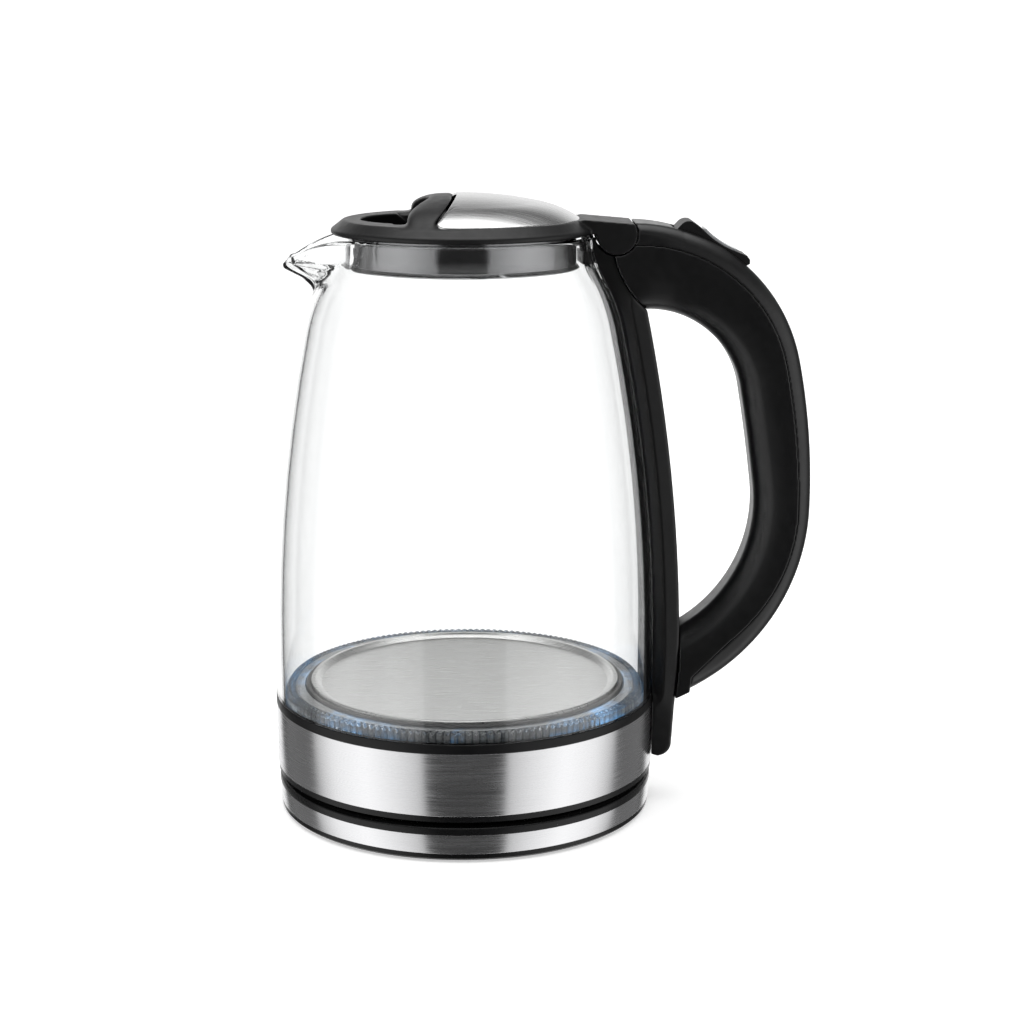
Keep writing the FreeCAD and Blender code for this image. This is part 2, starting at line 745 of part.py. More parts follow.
def handle_wires():
    """The wires from the steam switch, down through the grip and into the jug's base."""
    centre_offset = 9.0
    radius = D.grip_r1 + centre_offset
    start_turn = 30.0
    x0 = D.grip_x.value + radius.value * math.sin(math.radians(start_turn))
    z0 = D.grip_z.value - D.grip_r1.value + radius.value * math.cos(math.radians(start_turn))
    path = Path(x0, z0).turn(
        -start_turn,
        (radius, -(D.grip_turn1 - start_turn)),
        (D.grip_r2 + centre_offset, -D.grip_turn2),
        (D.grip_r3 + centre_offset, -D.grip_turn3),
    )
    heading = -(D.grip_turn1 + D.grip_turn2 + D.grip_turn3)
    run = 6.4
    x, z = path.points[-1]
    path.to((x + run * cosine(heading), z + run * sine(heading)))
    path.turn(heading, (size(10.0), -90 - heading))
    x = path.points[-1][0]
    path.to((x, 36.0)).turn(-90, (size(6.0), -90)).to((68.0, 30.0))
    edges = []
    spots = [Vector(a.value, b.value, 0) for a, b in path.points]
    for number, edge in enumerate(path.edges):
        edges.append(edge_geometry(spots[number], spots[number + 1], edge)[0].toShape())
    wire = Part.Wire(Part.__sortEdges__(edges))
    wire.rotate(Vector(0, 0, 0), Vector(1, 0, 0), 90)
    first = wire.OrderedVertexes[0].Point
    along = wire.OrderedEdges[0].tangentAt(wire.OrderedEdges[0].FirstParameter)
    section = Part.Wire(Part.Circle(first, along, 1.9).toShape())
    loom = doc.addObject("Part::Feature", "handle_wires")
    loom.Label = "handle_wires"
    loom.Shape = wire.makePipeShell([section], True, False)
    loom.Placement = FreeCAD.Placement()
    parts.append(loom)


# ---------------------------------------------------------------- lid
HOOD_FOOT = -20.0
HOOD_TOP = -11.6
HOOD_DEPTH = 9.2


def hood_x(level):
    """Where the sloping front of the hood is at a level."""
    slope = size(HOOD_TOP - HOOD_FOOT) / (D.dome_top - D.lid_top)
    return HOOD_FOOT + (size(level) - D.lid_top) * slope


def lid_ring():
    ring = new_part("lid_ring")
    spin(ring, Path(0, D.lid_plate_low).to(
        (D.cup_radius + 0.1, D.lid_plate_low), (D.cup_radius + 0.1, D.lid_low),
        (D.lid_radius - 0.6, D.lid_low), (D.lid_radius, D.lid_low + 0.6),
        (D.lid_radius, D.lid_low + 1.2)).bend(
        D.lid_radius - 0.9, D.lid_low + 2.4, 1.2, 1).to(
        (D.dome_radius + 0.9, D.lid_top - 0.3)).bend(
        D.dome_radius + 0.2, D.lid_top, 1.2, 1).to((0, D.lid_top)))
    spin(ring, dome_path(size(0)).to((0, D.lid_top)).back())
    high = 250.0
    front = Path(-60.0, D.lid_top).to((hood_x(D.lid_top), D.lid_top), (hood_x(high), high), (-60.0, high))
    slab(ring, [front], 120.0, cuts=True)
    rear = Path(hood_x(D.lid_top) + HOOD_DEPTH, D.lid_top).to(
        (60.0, D.lid_top), (60.0, high), (hood_x(high) + HOOD_DEPTH, high))
    slab(ring, [rear], 120.0, cuts=True)
    hinge_block(ring)
    finger_recess(ring)


def hinge_block(ring):
    """The arm behind the lid, with two cheeks on the hinge pin."""
    barrel = D.barrel_radius
    block = Path(44.0, 228.4).to((46.0, 228.4), on_barrel(barrel, -179))
    for degrees in (-115, -50, 31):
        block.bend(*on_barrel(barrel, degrees), barrel, 1)
    block.to((46.2, D.lid_top + 0.4), (44.0, D.lid_top))
    slab(ring, [block], D.handle_half * 2)
    slab(ring, [box_path(50.6, 215.0, 70.0, D.hinge_z + D.hinge_pin_radius + 1.9)],
         (D.lug_half + 0.3) * 2, cuts=True)
    hole = D.hinge_pin_radius + D.pin_clearance
    rods(ring, hole, [(D.hinge_x, D.hinge_z)], -13.0, 13.0, cuts=True, role="XZ_Plane")


def half_disc(radius, flat):
    """A D shape towards the spout: a straight side and a half circle."""
    centre = -D.recess_centre
    return Path(flat, -radius).to((flat, radius), (centre, radius)).bend(
        centre - radius, 0, radius, 1).bend(centre, -radius, radius, 1)


def finger_recess(ring):
    """The hollow in front of the hood, and the pocket under the hood that a finger pulls on."""
    tray = new_sketch(ring, "XY_Plane", D.recess_floor - 1.6)
    draw(tray, half_disc(D.recess_radius + 1.8, -10.2))
    extrude(ring, tray, D.lid_plate_low - D.recess_floor + 1.8)
    hollow = new_sketch(ring, "XY_Plane", D.recess_floor)
    draw(hollow, half_disc(D.recess_radius, -13.0))
    extrude(ring, hollow, D.lid_top - D.recess_floor + 0.2, cuts=True)
    arch = new_sketch(ring, "YZ_Plane")
    slope = math.degrees(math.atan2(HOOD_TOP - HOOD_FOOT, D.dome_top.value - D.lid_top.value))
    arch.AttachmentOffset = FreeCAD.Placement(
        Vector(0, D.lid_top.value, HOOD_FOOT), FreeCAD.Rotation(Vector(1, 0, 0), slope))
    bind(arch, "AttachmentOffset.Base.y", D.lid_top)
    half, rise, sag = 25.5, 11.2, 4.0
    curve = (half ** 2 + rise ** 2) / (2 * rise)
    draw(arch, Path(-half, -sag).to((half, -sag), (half, 0)).bend(0, rise, curve, 1).bend(-half, 0, curve, 1))
    wall = 1.6
    depth = HOOD_DEPTH * math.cos(math.radians(slope)) - wall
    extrude(ring, arch, depth * 2, cuts=True, both=True)


def lid_insert():
    insert = new_part("lid_insert")
    gauge = size(0.9)
    outside = dome_path(size(0))
    inside = dome_path(gauge)
    spin(insert, outside.join(inside.back()))
    level = 245.0
    low = D.lid_top - 3
    front = Path(-60.0, low).to(
        (hood_x(low) + HOOD_DEPTH + 0.15, low), (hood_x(level) + HOOD_DEPTH + 0.15, level), (-60.0, level))
    slab(insert, [front], 120.0, cuts=True)


def lid_lower():
    cup = new_part("lid_cup")
    inner = D.cup_radius - 0.8
    spin(cup, Path(0, D.cup_bottom).to(
        (D.cup_radius, D.cup_bottom), (D.cup_radius, D.lid_plate_low), (inner, D.lid_plate_low),
        (inner, D.cup_bottom + 0.8), (0, D.cup_bottom + 0.8)))
    rods(cup, 1.6, on_circle(34.0, 0, 80, 280), 215.0, 217.5, cuts=True)
    gasket = new_part("lid_gasket")
    spin(gasket, Path(40.0, 215.0).to(
        (44.4, 214.2), (44.8, 214.7), (43.9, D.cup_bottom), (40.0, D.cup_bottom)))
    screws = new_part("lid_screws")
    rods(screws, 1.4, on_circle(34.0, 0, 80, 280), 216.0, D.lid_plate_low)
    rods(screws, 2.8, on_circle(34.0, 0, 80, 280), 215.0, 216.0)


# ---------------------------------------------------------------- switch
def switch():
    rocker = new_part("switch_rocker")
    outline = Path(81.4, 229.2).to((83.6, 231.4)).bend(87.6, 232.2, 4.0, -1).to((91.0, 229.8)).bend(
        105.0, 220.6, 34.0, 1).to((108.6, 219.2), (109.8, 217.6), (109.8, 216.0), (106.0, 214.0),
                                  (100.0, 215.2), (88.0, 221.2), (81.4, 226.2)).back()
    slab(rocker, [outline], D.rocker_half * 2)
    slab(rocker, [Path(100.6, 216.0).to((101.6, 212.5), (104.2, 212.5), (104.8, 216.0))], 5.0)
    hole = D.rocker_pin_radius + D.pin_clearance
    rods(rocker, hole, [(D.rocker_x, D.rocker_z)], -9.0, 9.0, cuts=True, role="XZ_Plane")
    slab(rocker, [inlay_path(0.05)], 13.6, cuts=True)

    inlay = new_part("switch_inlay")
    slab(inlay, [inlay_path(0.0)], 13.4)

    pin = new_part("switch_pin")
    rods(pin, D.rocker_pin_radius, [(D.rocker_x, D.rocker_z)], -12.0, 12.0, role="XZ_Plane")

    lever = new_part("trip_lever")
    slab(lever, [Path(86.4, 209.0).to((91.0, 208.4), (103.4, 210.4), (103.4, 211.9), (91.0, 213.2),
                                      (86.4, 212.8))], 7.0)
    hole = size(1.05)
    rods(lever, hole, [(D.lever_x, D.lever_z)], -5.0, 5.0, cuts=True, role="XZ_Plane")
    axle = new_part("lever_pin")
    rods(axle, 1.0, [(D.lever_x, D.lever_z)], -11.0, 11.0, role="XZ_Plane")


def inlay_path(gap):
    """The clear strip let into the hollow of the rocker."""
    return Path(92.9 - gap, 229.3).bend(105.4 + gap, 221.2, 34.0, 1).to(
        (104.6 + gap, 219.4 - gap)).bend(92.0 - gap, 227.6 - gap, 35.0, -1)


# ---------------------------------------------------------------- build, test and write
for build in (power_base, coupler, jug_base, glass_jug, handle_shell, handle_cover, handle_spine,
              neck_bracket, steam_switch, handle_wires, lid_ring, lid_insert, lid_lower, switch):
    build()
doc.recompute()

for item in doc.Objects:
    if "Invalid" in item.State or "Error" in item.State:
        raise RuntimeError(f"{item.Name} ({item.Label}) failed: {item.State}")
os.makedirs("parts", exist_ok=True)
for part in parts:
    shape = part.Shape
    if shape.isNull() or not shape.isValid() or not shape.Solids:
        raise RuntimeError(f"{part.Label} has no valid shape")
    shape.exportStep(f"parts/{part.Label}.step")
    print(f"{part.Label}: {len(shape.Solids)} solid(s), {shape.Volume / 1000:.2f} cm3")
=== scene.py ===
"""Looks for the glass kettle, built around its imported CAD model. Metres, in the same frame as the CAD."""

import json
import math

import bmesh
import bpy
import numpy as np
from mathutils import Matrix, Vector


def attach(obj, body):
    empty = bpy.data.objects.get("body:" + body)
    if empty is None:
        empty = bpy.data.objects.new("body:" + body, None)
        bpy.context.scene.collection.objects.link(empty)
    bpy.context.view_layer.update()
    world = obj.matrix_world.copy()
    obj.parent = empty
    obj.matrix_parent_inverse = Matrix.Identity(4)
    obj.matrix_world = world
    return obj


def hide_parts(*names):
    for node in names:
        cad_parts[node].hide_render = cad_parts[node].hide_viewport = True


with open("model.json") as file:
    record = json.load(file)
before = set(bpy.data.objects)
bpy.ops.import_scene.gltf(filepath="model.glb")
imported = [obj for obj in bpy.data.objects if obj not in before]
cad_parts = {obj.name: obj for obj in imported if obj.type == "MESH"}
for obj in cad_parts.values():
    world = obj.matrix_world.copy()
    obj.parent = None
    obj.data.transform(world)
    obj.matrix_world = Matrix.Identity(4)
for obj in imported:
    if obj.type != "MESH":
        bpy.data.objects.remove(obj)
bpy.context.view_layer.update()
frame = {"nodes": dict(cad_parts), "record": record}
MM = 0.001
scene = bpy.context.scene
scene.view_settings.view_transform = "Standard"


# ---------------------------------------------------------------- camera
camera = bpy.data.objects.new("camera", bpy.data.cameras.new("camera"))
scene.collection.objects.link(camera)
camera.location = (0, -0.8295, 0.304)
camera.rotation_euler = (math.radians(77.34), 0, math.radians(-1.31))
camera.data.lens = 75.76
camera.data.sensor_width = 36
camera.data.clip_start = 0.01
scene.camera = camera


# ---------------------------------------------------------------- materials
FACETS = 168                    # cells round the clear ring
CUT_FROM = (0.0670, 0.0674)     # metres from the axis: the ring is plain inside this and cut outside it, where its cells carry painted light and shade
GLOW_TO = (0.0452, 0.0482)      # heights in metres over which the glow in the ring fades out
WELD_GAP = 0.000002             # metres: CAD vertices closer than this are one
HARD_EDGE = 28                  # degrees: a CAD edge sharper than this stays sharp


def maths(tree, operation, a, b=None):
    """One Math node. a and b are each a number or another node's output."""
    made = tree.nodes.new("ShaderNodeMath")
    made.operation = operation
    for slot, value in enumerate((a, b)):
        if isinstance(value, (int, float)):
            made.inputs[slot].default_value = value
        elif value is not None:
            tree.links.new(value, made.inputs[slot])
    return made.outputs[0]


def colour_ramp(tree, value, stops):
    """One colour ramp through (position, (red, green, blue)) stops."""
    made = tree.nodes.new("ShaderNodeValToRGB")
    elements = made.color_ramp.elements
    elements.remove(elements[1])
    elements[0].position = stops[0][0]
    elements[0].color = (*stops[0][1], 1)
    for position, colour in stops[1:]:
        elements.new(position).color = (*colour, 1)
    tree.links.new(value, made.inputs["Fac"])
    return made.outputs["Color"]


class Mat:
    """A material under construction: one Principled shader and the nodes that feed it."""

    def __init__(self, name, **sockets):
        self.material = bpy.data.materials.new(name)
        self.material.use_nodes = True
        self.tree = self.material.node_tree
        self.links = self.tree.links
        self.shader = self.tree.nodes["Principled BSDF"]
        for socket, value in sockets.items():
            self.shader.inputs[socket.replace("_", " ")].default_value = value

    def node(self, kind, **values):
        made = self.tree.nodes.new("ShaderNode" + kind)
        for key, value in values.items():
            setattr(made, key, value)
        return made

    def coordinates(self, scale=(1, 1, 1)):
        """Object coordinates, stretched."""
        place = self.node("TexCoord")
        mapping = self.node("Mapping")
        mapping.inputs["Scale"].default_value = scale
        self.links.new(place.outputs["Object"], mapping.inputs["Vector"])
        return mapping.outputs["Vector"]

    def noise(self, scale, stretch=(1, 1, 1), detail=2.0, roughness=0.5):
        made = self.node("TexNoise")
        made.inputs["Scale"].default_value = scale
        made.inputs["Detail"].default_value = detail
        made.inputs["Roughness"].default_value = roughness
        self.links.new(self.coordinates(stretch), made.inputs["Vector"])
        return made.outputs["Fac"]

    def spread(self, value, low, high, start=0.3, end=0.7):
        """Maps a 0 to 1 pattern to a range."""
        made = self.node("MapRange")
        made.inputs["From Min"].default_value = start
        made.inputs["From Max"].default_value = end
        made.inputs["To Min"].default_value = low
        made.inputs["To Max"].default_value = high
        self.links.new(value, made.inputs["Value"])
        return made.outputs["Result"]

    def colours(self, value, *stops):
        """Maps a pattern to colours."""
        return colour_ramp(self.tree, value, stops)

    def bump(self, height, distance, strength=1.0):
        made = self.node("Bump")
        made.inputs["Strength"].default_value = strength
        made.inputs["Distance"].default_value = distance
        self.links.new(height, made.inputs["Height"])
        self.links.new(made.outputs["Normal"], self.shader.inputs["Normal"])

    def feed(self, socket, value):
        self.links.new(value, self.shader.inputs[socket])


def plastic(name, colour, rough, grain=0.00002, shine=0.5):
    """Moulded plastic: a fine even texture, faint cloudiness, slightly uneven gloss."""
    made = Mat(name, IOR=1.45, Specular_IOR_Level=shine)
    cloud = made.noise(40.0, detail=3.0)
    dark = tuple(c * 0.86 for c in colour)
    light = tuple(c * 1.16 for c in colour)
    made.feed("Base Color", made.colours(cloud, (0.3, dark), (0.7, light)))
    made.feed("Roughness", made.spread(made.noise(300.0), rough - 0.04, rough + 0.04))
    made.bump(made.noise(2600.0, detail=1.0), grain, 0.5)
    return made.material


def steel(name, colour, rough, streaks, depth, around=True):
    """Brushed steel: fine streaks along the brushing, and highlights spread across it."""
    made = Mat(name, Metallic=1.0)
    fine = made.noise(1.0, streaks)
    dark = tuple(c * 0.95 for c in colour)
    light = tuple(min(1.0, c * 1.04) for c in colour)
    made.feed("Base Color", made.colours(fine, (0.3, dark), (0.7, light)))
    made.feed("Roughness", made.spread(fine, rough - 0.05, rough + 0.05))
    made.bump(fine, depth, 0.35)
    if around:
        made.shader.inputs["Anisotropic"].default_value = 0.9
        made.shader.inputs["Anisotropic Rotation"].default_value = 0.25
        tangent = made.node("Tangent", direction_type="RADIAL", axis="Z")
        made.feed("Tangent", tangent.outputs["Tangent"])
    return made.material


def polished(name, colour, rough):
    """Bare or plated metal with slightly uneven gloss."""
    made = Mat(name, Metallic=1.0)
    made.feed("Roughness", made.spread(made.noise(120.0, detail=3.0), rough * 0.8, rough * 1.3))
    dark = tuple(c * 0.95 for c in colour)
    made.feed("Base Color", made.colours(made.noise(60.0), (0.3, dark), (0.7, colour)))
    return made.material


def clear(name, colour, rough, ior, wave):
    """Glass or clear rubber, with the faint waviness of a moulded surface."""
    made = Mat(name, Base_Color=(*colour, 1), Roughness=rough, IOR=ior, Transmission_Weight=1.0)
    made.bump(made.noise(35.0, detail=1.0), wave, 0.3)
    return made.material


def crystal(name):
    """Clear moulded plastic in cells, over blue lamps, with painted light and shade on its cells and painted
    shade in the creases between them: a painted glow gathers in patches low down in the flutes.
    """
    made = Mat(name, Roughness=0.05, IOR=1.5, Transmission_Weight=0.86, Emission_Color=(0.12, 0.45, 0.9, 1))

    def step(operation, a, b=None):
        return maths(made.tree, operation, a, b)

    # Cells by angle, each in its own grey as painted light and shade, with painted shade darkening the crease
    # between them. Only the cut part shows them.
    place = made.node("SeparateXYZ")
    made.links.new(made.coordinates(), place.inputs["Vector"])
    x, y, z = (place.outputs[axis] for axis in "XYZ")
    phase = step("MULTIPLY", step("ARCTAN2", y, x), FACETS / (2 * math.pi))
    chance = made.node("TexWhiteNoise", noise_dimensions="1D")
    made.links.new(step("FLOOR", phase), chance.inputs["W"])
    shade = made.spread(chance.outputs["Value"], 0.4, 1.0, 0.0, 1.0)
    crease_shade = made.spread(step("PINGPONG", phase, 0.5), 0.25, 1.0, 0.02, 0.2)
    reach = step("SQRT", step("ADD", step("MULTIPLY", x, x), step("MULTIPLY", y, y)))
    outer = made.spread(reach, 0.0, 1.0, *CUT_FROM)
    # Painted shade: each cell's random grey and the darker crease between cells.
    painted_shade = step("SUBTRACT", 1.0, step("MULTIPLY", shade, crease_shade))
    facet_light_and_shade = step("SUBTRACT", 1.0, step("MULTIPLY", outer, painted_shade))
    made.feed("Base Color", made.colours(
        facet_light_and_shade, (0.0, (0.12, 0.15, 0.18)), (0.5, (0.6, 0.66, 0.7)), (1.0, (0.97, 0.99, 1.0))))
    low = made.spread(z, 1.0, 0.0, *GLOW_TO)
    patches = made.spread(made.noise(60.0, detail=3.0, roughness=0.7), 0.0, 0.45, 0.5, 0.66)
    # The painted glow is dimmer where the painted shade darkens the cells.
    made.feed("Emission Strength", step("MULTIPLY", step("MULTIPLY", low, patches), facet_light_and_shade))
    made.bump(made.noise(700.0, detail=1.0), 0.00004, 0.6)
    return made.material


def rubber(name, colour, rough):
    """Matt rubber or sleeving with a fine grain."""
    made = Mat(name, IOR=1.45)
    dark = tuple(c * 0.85 for c in colour)
    made.feed("Base Color", made.colours(made.noise(90.0, detail=3.0), (0.3, dark), (0.7, colour)))
    made.feed("Roughness", made.spread(made.noise(500.0), rough - 0.05, rough + 0.05))
    made.bump(made.noise(1500.0), 0.00003, 0.4)
    return made.material


AROUND = (60, 60, 3500)         # noise scales that draw streaks round the axis
ALONG_X = (60, 2500, 60)        # and streaks along X
looks = {
    "black_plastic": plastic("black_plastic_look", (0.004, 0.004, 0.0044), 0.36, shine=0.25),
    "handle_plastic": plastic("handle_plastic_look", (0.0042, 0.0042, 0.0046), 0.33),
    "lid_plastic": plastic("lid_plastic_look", (0.0045, 0.0045, 0.0048), 0.42, shine=0.36),
    "base_plastic": plastic("base_plastic_look", (0.004, 0.004, 0.0044), 0.28, shine=0.3),
    "brushed_steel": steel("brushed_steel_look", (0.68, 0.68, 0.69), 0.25, AROUND, 0.000003),
    "dome_steel": steel("dome_steel_look", (0.56, 0.56, 0.56), 0.25, ALONG_X, 0.000018, around=False),
    "polished_steel": polished("polished_steel_look", (0.21, 0.21, 0.215), 0.12),
    "heater_steel": steel("heater_steel_look", (0.62, 0.62, 0.61), 0.3, ALONG_X, 0.000014, around=False),
    "jug_glass": clear("jug_glass_look", (0.985, 0.99, 0.99), 0.0, 1.47, 0.00002),
    "crystal": crystal("crystal_look"),
    "switch_lens": plastic("switch_lens_look", (0.36, 0.37, 0.38), 0.14, 0.000004, shine=0.9),
    "silicone": clear("silicone_look", (0.93, 0.94, 0.94), 0.22, 1.42, 0.00003),
    "dark_seal": rubber("dark_seal_look", (0.2, 0.2, 0.2), 0.35),
    "foot_rubber": rubber("foot_rubber_look", (0.02, 0.02, 0.02), 0.6),
    "brass": polished("brass_look", (0.72, 0.53, 0.25), 0.2),
    "aluminium": polished("aluminium_look", (0.75, 0.75, 0.76), 0.35),
    "zinc_steel": polished("zinc_steel_look", (0.6, 0.6, 0.62), 0.2),
    "element_steel": polished("element_steel_look", (0.3, 0.29, 0.28), 0.4),
    "control_plastic": plastic("control_plastic_look", (0.6, 0.58, 0.54), 0.45),
    "circuit_board": plastic("circuit_board_look", (0.8, 0.8, 0.78), 0.5),
    "led_blue": plastic("led_blue_look", (0.2, 0.5, 0.9), 0.3),
    "bimetal": polished("bimetal_look", (0.5, 0.46, 0.4), 0.3),
    "wire_sleeve": rubber("wire_sleeve_look", (0.6, 0.6, 0.57), 0.7),
}
led = looks["led_blue"].node_tree.nodes["Principled BSDF"]
led.inputs["Emission Color"].default_value = (0.2, 0.5, 1.0, 1)
led.inputs["Emission Strength"].default_value = 6.0

slot_of = {part["node"]: part["material_slot"] for part in frame["record"]["subparts"]}
body_of = {n: body for body, members in frame["record"]["behaviour"]["bodies"].items() for n in members}
for name, node in frame["nodes"].items():
    node.data.materials.clear()
    node.data.materials.append(looks[slot_of[name]])
    for polygon in node.data.polygons:
        polygon.use_smooth = True
    weld = node.modifiers.new("weld", "WELD")
    weld.merge_threshold = WELD_GAP
    split = node.modifiers.new("split", "EDGE_SPLIT")
    split.split_angle = math.radians(HARD_EDGE)


# ---------------------------------------------------------------- shapes: outlines in mm
ARC_STEP = 1.6      # degrees between the points of an arc
CORNER_STEPS = 4    # chords round a rounded corner


def arcs(start, heading, *turns):
    """Points along arcs that run on from each other. A turn is (radius, degrees), to the left if positive."""
    x, z = start
    angle = math.radians(heading)
    points = [(x, z)]
    for radius, degrees in turns:
        count = max(3, round(abs(degrees) / ARC_STEP))
        step = math.radians(degrees) / count
        chord = 2 * radius * math.sin(abs(step) / 2)
        for _ in range(count):
            angle += step / 2
            x += chord * math.cos(angle)
            z += chord * math.sin(angle)
            angle += step / 2
            points.append((x, z))
    return points


def rounded(corners):
    """A closed outline from (x, z, radius) corners."""
    points = []
    count = len(corners)
    for number, (x, z, radius) in enumerate(corners):
        here = np.array((x, z), float)
        before = np.array(corners[number - 1][:2], float) - here
        after = np.array(corners[(number + 1) % count][:2], float) - here
        if not radius:
            points.append((x, z))
            continue
        before /= np.linalg.norm(before)
        after /= np.linalg.norm(after)
        half = math.acos(float(np.clip(before @ after, -1, 1))) / 2
        reach = radius / math.tan(half)
        middle = before + after
        middle /= np.linalg.norm(middle)
        centre = here + middle * radius / math.sin(half)
        first, last = here + before * reach - centre, here + after * reach - centre
        for k in range(CORNER_STEPS + 1):
            blend = first * (1 - k / CORNER_STEPS) + last * (k / CORNER_STEPS)
            points.append(tuple(centre + blend / np.linalg.norm(blend) * radius))
    return points


# ---------------------------------------------------------------- shapes: meshes
MELT_STEP = 0.25    # between the levels of a melt
MELT_PASSES = 260   # smoothing passes where a melt is full


def make(name, vertices, faces, node, sharp=40.0):
    """A piece in place of a CAD node, from vertices in mm. It takes that node's body and look."""
    mesh = bpy.data.meshes.new(name)
    mesh.from_pydata([tuple(float(c) * MM for c in v) for v in vertices], [], faces)
    edit = bmesh.new()
    edit.from_mesh(mesh)
    bmesh.ops.remove_doubles(edit, verts=edit.verts, dist=1e-7)
    bmesh.ops.recalc_face_normals(edit, faces=edit.faces)
    edit.to_mesh(mesh)
    edit.free()
    return adopt(bpy.data.objects.new(name, mesh), node, sharp)


def adopt(piece, node, sharp):
    """Gives a piece the look and the body of the CAD node that it stands for."""
    if piece.name not in scene.collection.objects:
        scene.collection.objects.link(piece)
    mesh = piece.data
    mesh.polygons.foreach_set("use_smooth", [True] * len(mesh.polygons))
    mesh.set_sharp_from_angle(angle=math.radians(sharp))
    mesh.materials.clear()
    mesh.materials.append(looks[slot_of[node]])
    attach(piece, body_of[node])
    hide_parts(node)
    return piece


def grid_faces(rows, columns, wrap_rows=False):
    """Quads over a grid of vertices stored row by row, each row a closed loop."""
    faces = []
    for row in range(rows if wrap_rows else rows - 1):
        below = (row + 1) % rows
        for column in range(columns):
            beside = (column + 1) % columns
            faces.append((row * columns + column, row * columns + beside,
                          below * columns + beside, below * columns + column))
    return faces


def lathe(name, outline, node, count=288, ripple=None, sharp=40.0):
    """A closed outline turned about the jug's axis. ripple(r, z, angle) may shape the radius and height."""
    vertices = []
    for radius, level in outline:
        for k in range(count):
            angle = 2 * math.pi * k / count
            r, z = ripple(radius, level, angle) if ripple else (radius, level)
            vertices.append((r * math.cos(angle), r * math.sin(angle), z))
    return make(name, vertices, grid_faces(len(outline), count, wrap_rows=True), node, sharp)


def ramped(value, start, length):
    """0 up to the start, then rising evenly to 1 over the length."""
    return np.clip((value - start) / length, 0, 1)


def softened(name, node, voxel, passes, shape=None, melt=None):
    """A copy of a CAD node with every edge eased, as a moulding has them.

    The voxel is in mm. melt says, from 0 to 1, where the copy is eased much more. shape moves its vertices.
    """
    source = frame["nodes"][node]
    piece = bpy.data.objects.new(name, source.data.copy())
    scene.collection.objects.link(piece)
    remesh = piece.modifiers.new("remesh", "REMESH")
    remesh.mode = "VOXEL"
    remesh.voxel_size = voxel * MM
    smooth = piece.modifiers.new("smooth", "SMOOTH")
    smooth.factor = 0.5
    smooth.iterations = passes
    mesh = applied(piece)
    if melt:
        group = piece.vertex_groups.new(name="melt")
        weights = melt(places(mesh))
        for level in (MELT_STEP, 2 * MELT_STEP, 3 * MELT_STEP, 1.0):
            picked = np.nonzero(abs(weights - level) < MELT_STEP / 2)[0]
            group.add(picked.tolist(), level, "REPLACE")
        more = piece.modifiers.new("more", "SMOOTH")
        more.vertex_group = "melt"
        more.factor = 0.5
        more.iterations = MELT_PASSES
        mesh = applied(piece)
        piece.vertex_groups.clear()
    if shape:
        mesh.vertices.foreach_set("co", (shape(places(mesh)) * MM).ravel())
        mesh.update()
    return adopt(piece, node, 180.0)


def places(mesh):
    """A mesh's vertices in mm."""
    flat = np.empty(len(mesh.vertices) * 3)
    mesh.vertices.foreach_get("co", flat)
    return flat.reshape(-1, 3) / MM


def applied(piece):
    """Makes a piece's modifiers part of its mesh."""
    depsgraph = bpy.context.evaluated_depsgraph_get()
    mesh = bpy.data.meshes.new_from_object(piece.evaluated_get(depsgraph))
    piece.modifiers.clear()
    piece.data = mesh
    return mesh


# ---------------------------------------------------------------- base
def base_pieces():
    lathe("base_band", rounded([
        (73.2, 3.5, 0), (73.98, 3.5, 0.25), (73.98, 11.0, 0.25), (73.2, 11.0, 0)]), "base_steel_band")
    lathe("base_top", rounded([
        (17.3, 10.2, 0), (17.3, 18.0, 0.5), (19.6, 18.0, 0.8), (22.0, 12.2, 1.5), (68.5, 12.2, 1.0),
        (70.3, 14.0, 0.7), (74.3, 14.0, 0.9), (74.3, 11.0, 0.15), (71.0, 11.0, 0), (71.0, 4.0, 0),
        (69.4, 4.0, 0), (69.4, 10.2, 0)]), "base_upper_shell")


def jug_base_pieces():
    lathe("jug_band", rounded([
        (74.2, 18.6, 0), (75.0, 18.6, 0.3), (75.0, 43.0, 0.3), (74.2, 43.0, 0)]), "jug_steel_band", count=360)
    lathe("jug_trim", rounded([
        (66.0, 43.0, 0), (75.2, 43.0, 0.2), (75.2, 46.7, 0.5), (72.2, 46.7, 0), (72.2, 44.5, 0),
        (66.0, 44.5, 0)]), "jug_trim_ring", count=360)
    lathe("heating_plate", rounded([
        (0.01, 50.0, 0), (57.2, 50.0, 1.2), (58.9, 51.0, 0.5), (59.6, 51.7, 0.35), (61.0, 51.7, 0.35),
        (61.4, 51.2, 0.3), (61.4, 44.4, 0), (65.8, 44.4, 0), (65.8, 43.1, 0), (60.2, 43.1, 0),
        (60.2, 49.8, 0), (57.0, 48.8, 0), (0.01, 48.8, 0)]), "heater_plate")
    lathe("plate_gasket", rounded([
        (61.45, 44.5, 0), (63.45, 44.5, 0), (63.45, 50.2, 0.5), (62.9, 50.7, 0.3),
        (61.45, 50.7, 0.2)]), "plate_seal")


